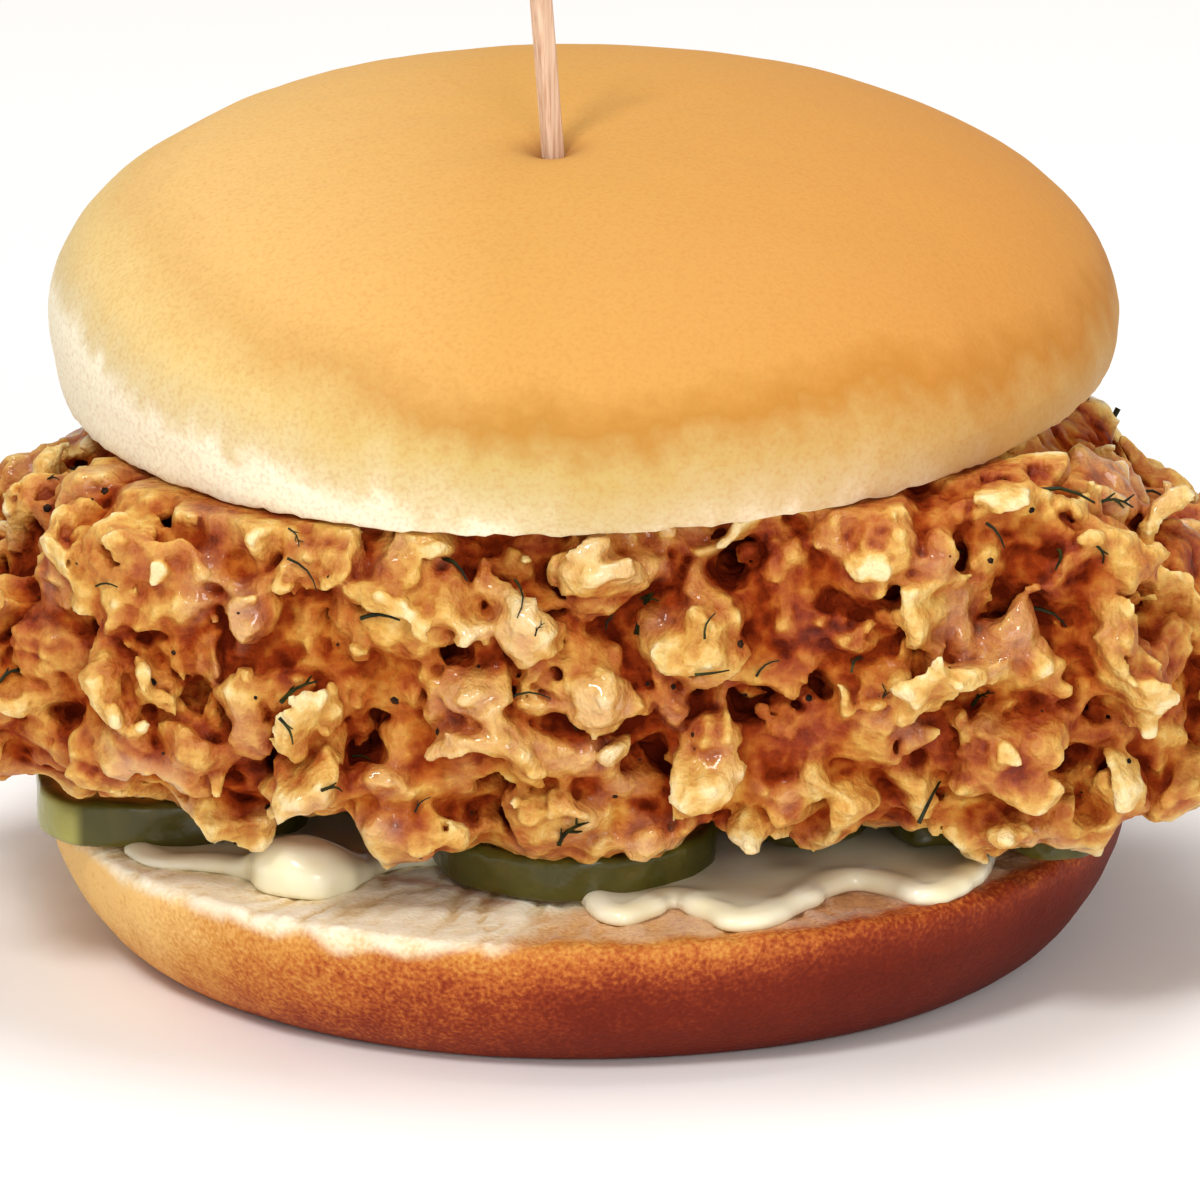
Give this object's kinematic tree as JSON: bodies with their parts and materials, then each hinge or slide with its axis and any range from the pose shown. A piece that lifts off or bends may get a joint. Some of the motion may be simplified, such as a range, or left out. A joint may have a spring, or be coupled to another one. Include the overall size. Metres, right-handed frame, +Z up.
{
  "type": "fried chicken sandwich",
  "caption": "Fried chicken sandwich: plain round bun, craggy fried fillet, pickle slices, mayonnaise and a wooden pick through the crown.",
  "frame": {"origin": "centre of the heel's flat base", "axes": "+Z up, -Y to the sandwich's front, +X to its right-hand side as seen from the front"},
  "size_m": [0.1411, 0.1091, 0.1083],
  "materials": {
    "crown_crust": "soft matte golden bread crust, pale at the waist",
    "heel_crust": "matte browned bread crust with a pale cut face",
    "fried_crust": "craggy fried crust with a wet glaze",
    "pickle": "wet, slightly translucent",
    "mayonnaise": "glossy cream",
    "wood": "plain dry wood"
  },
  "bodies": {
    "root": {"crown": "crown_crust", "heel": "heel_crust", "fried_chicken": "fried_crust", "pickle_1": "pickle", "pickle_2": "pickle", "pickle_3": "pickle", "pickle_4": "pickle", "pickle_5": "pickle", "mayonnaise": "mayonnaise", "pick": "wood"}
  },
  "joints": []
}
